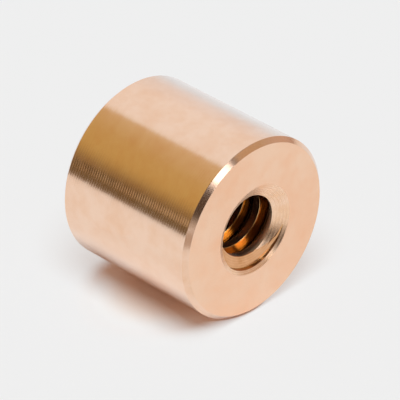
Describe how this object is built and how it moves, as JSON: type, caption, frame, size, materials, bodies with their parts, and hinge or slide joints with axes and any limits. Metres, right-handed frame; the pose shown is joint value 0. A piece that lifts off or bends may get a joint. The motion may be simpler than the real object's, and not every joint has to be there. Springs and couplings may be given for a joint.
{
  "type": "trapezoidal nut",
  "caption": "Plain round bronze nut with an internal right-hand trapezoidal thread, for driving a load along a lead screw.",
  "frame": {"origin": "centre of the lower end face, on the thread's axis", "axes": "+Z along the thread's axis; the nut stands on one end face, and both ends are alike"},
  "size_m": [0.036, 0.036, 0.032],
  "materials": {
    "turned_bronze": null
  },
  "bodies": {
    "root": {"nut_body": "turned_bronze"}
  },
  "joints": []
}
